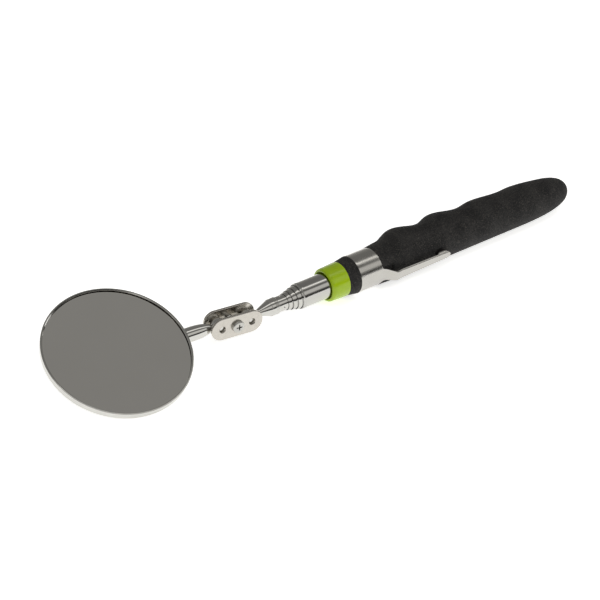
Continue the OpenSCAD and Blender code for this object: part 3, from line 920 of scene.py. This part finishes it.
def stamped(name, outer, holes, thick, edge, place):
    """A flat plate with holes and rounded edges, in mm, square to its frame's Y axis."""
    curve = bpy.data.curves.new(name, "CURVE")
    curve.dimensions = "2D"
    curve.fill_mode = "BOTH"
    curve.extrude = thick / 2 - edge
    curve.bevel_depth = edge
    curve.bevel_resolution = 3
    curve.offset = -edge
    for points in [outer, *holes]:
        round_spline(curve, points)
    blank = bpy.data.objects.new(name, curve)
    bpy.context.scene.collection.objects.link(blank)
    bpy.context.view_layer.update()
    view = bpy.context.evaluated_depsgraph_get()
    mesh = bpy.data.meshes.new_from_object(blank.evaluated_get(view))
    bpy.data.objects.remove(blank)
    shell = bmesh.new()
    shell.from_mesh(mesh)
    bmesh.ops.remove_doubles(shell, verts=shell.verts, dist=1e-4)
    bmesh.ops.recalc_face_normals(shell, faces=shell.faces)
    stand = Matrix.Rotation(math.pi / 2, 4, "X")
    shell.transform(place @ Matrix.Diagonal((MM, MM, MM, 1)) @ stand)
    shell.to_mesh(mesh)
    shell.free()
    return mesh


def stadium(length, r, steps=32):
    """Points round a slot shape of two half circles, a length between their centres."""
    points = []
    for side in (1, -1):
        for i in range(steps + 1):
            a = math.pi * i / steps - math.pi / 2 + (0 if side > 0 else math.pi)
            points.append((side * length / 2 + r * math.cos(a), r * math.sin(a)))
    return points


def tumbled_nickel():
    # Nickel plate over tumbled steel: warm white, half bright, with a fine orange-peel grain
    # and small dings from the tumbling.
    material, tree, shader, place = new_material("plate_tumbled_nickel")
    peel = add(tree, "ShaderNodeTexNoise", {"Vector": place, "Scale": 900.0, "Detail": 5.0})
    colour = two_tone(tree, peel.outputs["Fac"], "#b4b0a9", "#c8c4bd")
    tree.links.new(colour, shader.inputs["Base Color"])
    dull = add(tree, "ShaderNodeMapRange", {"Value": peel.outputs["Fac"], "To Min": 0.14,
                                            "To Max": 0.26})
    tree.links.new(dull.outputs["Result"], shader.inputs["Roughness"])
    dings = add(tree, "ShaderNodeTexVoronoi", {"Vector": place, "Scale": 1100.0})
    height = maths(tree, "ADD", peel.outputs["Fac"], dings.outputs["Distance"])
    bump(tree, shader, height, 0.08, 0.02)
    shader.inputs["Metallic"].default_value = 1.0
    return material


plate_finish = tumbled_nickel()
plate_middle = plate_gap / 2 + PLATE_T / 2
plate_holes = [circle(-ball_gap / 2, 0, SEAT_HOLE_R), circle(ball_gap / 2, 0, SEAT_HOLE_R),
               circle(0, 0, SCREW_R + SCREW_CLEARANCE)]
for side, name in ((1, "front"), (-1, "rear")):
    place = link_place @ Matrix.Translation((0, side * plate_middle * MM, 0))
    mesh = stamped(f"{name}_plate", stadium(ball_gap, PLATE_END_R), plate_holes, PLATE_T,
                   PLATE_EDGE, place)
    plate = show(f"{name}_clamp_plate", mesh, plate_finish, sharp=35)
    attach(plate, "link")
    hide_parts(f"clamp_plate_{name}")


# ---- Clamp screw and nut ----
# A nickel-plated pan-head machine screw with a cross recess pulls the plates onto the balls. A
# plain hexagon nut holds its threaded end behind the rear plate.

HEAD_R = 2.45
HEAD_H = 1.5
HEAD_SEAT = 0.04
HEAD_CROWN = 0.75
RECESS_LEN, RECESS_W, RECESS_DEEP = 2.9, 0.62, 1.5
THREAD_PROUD = 0.8
THREAD_CHAMFER = 0.3
THREAD_PITCH = 0.45
THREAD_DEPTH = 0.12
NUT_AF = 5.0
NUT_T = 2.0
screw_finish = polished_chrome("screw_nickel", "#a9a8a4", "#c4c3bf", 0.16, 300, (900, 900, 900))


def cut(piece, tools, operation):
    """Cuts a piece with other closed shapes, which are then removed."""
    for tool in tools:
        knife = piece.modifiers.new("cut", "BOOLEAN")
        knife.operation = operation
        knife.object = tool
        knife.solver = "EXACT"
    bake(piece)
    for tool in tools:
        bpy.data.objects.remove(tool)
    return piece


def block(sizes, place, taper=1.0):
    """A closed box in mm about its frame's origin, narrower towards -X by a taper."""
    box = bmesh.new()
    bmesh.ops.create_cube(box, size=1)
    for corner in box.verts:
        shrink = taper if corner.co.x < 0 else 1
        corner.co = Vector((corner.co.x * sizes[0], corner.co.y * sizes[1] * shrink,
                            corner.co.z * sizes[2] * shrink))
    box.transform(place @ Matrix.Diagonal((MM, MM, MM, 1)))
    mesh = bpy.data.meshes.new("block")
    box.to_mesh(mesh)
    box.free()
    tool = bpy.data.objects.new("block", mesh)
    bpy.context.scene.collection.objects.link(tool)
    return tool


screw_place = axes(link_normal, link_axis, link_middle)
face = plate_gap / 2 + PLATE_T
head_seat = face + HEAD_SEAT
head_top = head_seat + HEAD_H
screw_end = -(face + NUT_T + THREAD_PROUD)
thread_from = screw_end + THREAD_CHAMFER
screw_outline = [(screw_end, 0), (screw_end, SCREW_R - 0.35), (thread_from, SCREW_R)]
screw_outline += [(thread_from + 0.05 * i, SCREW_R) for i in range(1, 230)
                  if thread_from + 0.05 * i < face - 0.5]
screw_outline += [(head_seat, SCREW_R), (head_seat, HEAD_R - 0.1), (head_seat + 0.1, HEAD_R),
                  (head_top - HEAD_CROWN, HEAD_R)]
for i in range(1, 9):
    a = math.radians(90 * i / 8)
    screw_outline.append((head_top - HEAD_CROWN + 0.62 * math.sin(a),
                          HEAD_R - 0.8 * (1 - math.cos(a))))
screw_outline += [(head_top - 0.04, 0.8), (head_top, 0)]


def threaded(x, r, a):
    """Radius of the screw with a helical groove behind its plain neck."""
    if not screw_end + 0.25 < x < face - 1 or r < SCREW_R - 0.01:
        return r
    turn = (x / THREAD_PITCH - a / (2 * math.pi)) % 1
    return r - THREAD_DEPTH * (1 - abs(2 * turn - 1))


screw = show("pan_head_screw", turned(screw_outline, 48, screw_place, shape=threaded),
             screw_finish, sharp=30)
recess = screw_place @ Matrix.Translation(((head_top - 0.25) * MM, 0, 0))
cut(screw, [block((RECESS_DEEP, RECESS_LEN, RECESS_W), recess, 0.6),
            block((RECESS_DEEP, RECESS_W, RECESS_LEN), recess, 0.6)], "DIFFERENCE")
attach(screw, "screw")
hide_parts("clamp_screw")

corner_r = NUT_AF / 2 / math.cos(math.pi / 6)
nut_near, nut_far = -face, -face - NUT_T
nut_place = screw_place @ Matrix.Rotation(math.radians(30), 4, "X")
nut_outline = [(nut_far, SCREW_R), (nut_far, corner_r), (nut_near, corner_r),
               (nut_near, SCREW_R)]
nut = show("clamp_hex_nut", turned(nut_outline, 6, nut_place, closed=True), screw_finish,
           sharp=30)
crown = turned([(nut_far, 0), (nut_far, NUT_AF / 2 * 0.96), (nut_far + 0.32, corner_r + 0.02),
                (nut_near - 0.32, corner_r + 0.02), (nut_near, NUT_AF / 2 * 0.96),
                (nut_near, 0)], 64, screw_place)
crown_tool = bpy.data.objects.new("crown", crown)
bpy.context.scene.collection.objects.link(crown_tool)
cut(nut, [crown_tool], "INTERSECT")
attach(nut, "link")
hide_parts("clamp_nut")


# ---- Mirror ball and stem ----
# The ball is drilled and pressed on the stem's pin. The stem is turned to a bullet shape and
# ends in a flat tongue that is spot welded under the mirror's cup.

head_finish = polished_chrome("head_turned_chrome", "#bebdb9", "#cdccc8", 0.05, 120,
                              (1500, 1500, 1500))
stem_place = axes(stem_axis, link_normal, mirror_ball_at)
ball_outline = [(-ball_r, 0)] + arc(0, 0, ball_r, 175, 5, 40) + [(ball_r, 0)]
ball = show("mirror_ball_turned", turned(ball_outline, 64, stem_place), head_finish, sharp=60)
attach(ball, "ball")
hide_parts("mirror_ball")

glass_node = frame["nodes"]["mirror_glass"].data
up_faces = [face.normal for face in glass_node.polygons if face.normal.z > 0.7]
glass_normal = sum(up_faces, Vector()).normalized()
glass_low, glass_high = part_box("mirror_glass")
disc_axis = (stem_axis - glass_normal * stem_axis.dot(glass_normal)).normalized()
MIRROR_R = 28.45
STEM_REACH = 14.7
STEM_R = 2.95
STEM_NECK_R = 0.8
NOSE_LEN = 8.4
TONGUE_W, TONGUE_T, TONGUE_LEN = 8.0, 1.6, 19.0
TONGUE_NECK = 2.45
WELD_R = 0.8
WELD_PLACES = (7, 13)

neck_x = math.sqrt(ball_r ** 2 - STEM_NECK_R ** 2) + 0.05
stem_end = STEM_REACH - 0.4
stem_outline = [(1.0, 0), (1.0, STEM_NECK_R - 0.04), (neck_x, STEM_NECK_R - 0.04),
                (neck_x + 0.1, STEM_NECK_R)]
for i in range(1, 25):
    t = i / 24
    rise = math.sqrt(1 - (1 - t) ** 2)
    stem_outline.append((neck_x + NOSE_LEN * t, STEM_NECK_R + (STEM_R - STEM_NECK_R) * rise))
stem_outline += [(stem_end - 0.6, STEM_R)] + arc(stem_end - 0.5, STEM_R - 0.5, 0.5, 90, 0, 6)
stem_outline += [(stem_end, 0)]
stem_mesh = turned(stem_outline, 80, stem_place)
tongue_place = axes(disc_axis, glass_normal, mirror_ball_at + stem_axis * STEM_REACH * MM)
tongue_shape = [(-1, -TONGUE_NECK), (1.5, -TONGUE_NECK), (3, -TONGUE_W / 2)]
tongue_nose = TONGUE_LEN - TONGUE_W / 2
tongue_shape += [(tongue_nose + TONGUE_W / 2 * math.sin(math.radians(a)),
                  -TONGUE_W / 2 * math.cos(math.radians(a))) for a in range(0, 181, 10)]
tongue_shape += [(3, TONGUE_W / 2), (1.5, TONGUE_NECK), (-1, TONGUE_NECK)]
welds = [circle(place, 0, WELD_R, 24) for place in WELD_PLACES]
tongue_mesh = stamped("stem_tongue", tongue_shape, welds, TONGUE_T, 0.2, tongue_place)
join(stem_mesh, tongue_mesh)
stem = show("mirror_stem_turned", stem_mesh, head_finish, sharp=35)
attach(stem, "mirror")
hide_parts("mirror_stem")


# ---- Mirror cup, pad and glass ----
# A shallow cup spun from thin steel and chromed, with its lip rolled over the glass. The glass
# is silvered float glass, bedded on a black adhesive pad.

CUP_SHEET = 0.4
CUP_CORNER = 0.8
CUP_DEPTH = 3.1
LIP_W = 0.9
LIP_ROUND = 0.28
LIP_BEVEL = 0.3
GLASS_T = 1.4
GLASS_CHAMFER = 0.2
APPARENT_DEPTH = 0.5
GLASS_R = MIRROR_R - CUP_CORNER + 0.2
disc_centre = (glass_low + glass_high) / 2
glass_middle = CUP_DEPTH - CUP_SHEET - GLASS_T / 2
disc_place = axes(glass_normal, disc_axis, disc_centre - glass_normal * glass_middle * MM)

lip_r = MIRROR_R - LIP_W
cup_outline = [(0, 0), (0, MIRROR_R - CUP_CORNER - 2)]
cup_outline += arc(CUP_CORNER, MIRROR_R - CUP_CORNER, CUP_CORNER, 180, 90, 8)
lip_start = CUP_DEPTH - LIP_ROUND
cup_outline += [(lip_start - 0.6, MIRROR_R), (lip_start - 0.1, MIRROR_R)]
cup_outline += arc(lip_start, MIRROR_R - LIP_ROUND, LIP_ROUND, 90, 0, 8)
cup_outline += [(CUP_DEPTH, lip_r + LIP_BEVEL), (CUP_DEPTH - LIP_BEVEL, lip_r),
                (CUP_DEPTH - CUP_SHEET, lip_r), (CUP_DEPTH - CUP_SHEET, MIRROR_R - CUP_SHEET)]
cup_outline += arc(CUP_CORNER, MIRROR_R - CUP_CORNER, CUP_CORNER - CUP_SHEET, 90, 180, 6)
cup_outline += [(CUP_SHEET, 0)]
cup = show("rolled_rim_cup", turned(cup_outline, 256, disc_place), head_finish, sharp=30)
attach(cup, "mirror")
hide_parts("mirror_cup")


def silvered_glass():
    # Float glass silvered on its back: a clean, very slightly green mirror under a clear
    # surface, with a trace of wiping haze.
    material, tree, shader, place = new_material("silvered_float_glass")
    wipe = add(tree, "ShaderNodeTexNoise", {"Vector": place, "Scale": 45.0, "Detail": 4.0})
    colour = two_tone(tree, wipe.outputs["Fac"], "#e6e4df", "#edebe6")
    tree.links.new(colour, shader.inputs["Base Color"])
    haze = add(tree, "ShaderNodeMapRange", {"Value": wipe.outputs["Fac"], "From Min": 0.3,
               "From Max": 0.7, "To Min": 0.0, "To Max": 0.03})
    tree.links.new(haze.outputs["Result"], shader.inputs["Roughness"])
    shader.inputs["Metallic"].default_value = 1.0
    shader.inputs["Coat Weight"].default_value = 1.0
    shader.inputs["Coat Roughness"].default_value = 0.0
    shader.inputs["Coat IOR"].default_value = 1.52
    return material


glass_back = CUP_DEPTH - CUP_SHEET - GLASS_T
glass_front = CUP_DEPTH - CUP_SHEET - APPARENT_DEPTH
glass_edge = GLASS_R - GLASS_CHAMFER
glass_outline = [(glass_back, 0), (glass_back, glass_edge), (glass_back + GLASS_CHAMFER, GLASS_R),
                 (glass_front - GLASS_CHAMFER, GLASS_R), (glass_front, glass_edge),
                 (glass_front, 0)]
glass = show("silvered_glass_disc", turned(glass_outline, 256, disc_place), silvered_glass(),
             sharp=20)
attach(glass, "mirror")
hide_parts("mirror_glass")

dress("mirror_pad", moulded_black("adhesive_foam_pad", "#191919", "#2c2c2d", 1600.0))
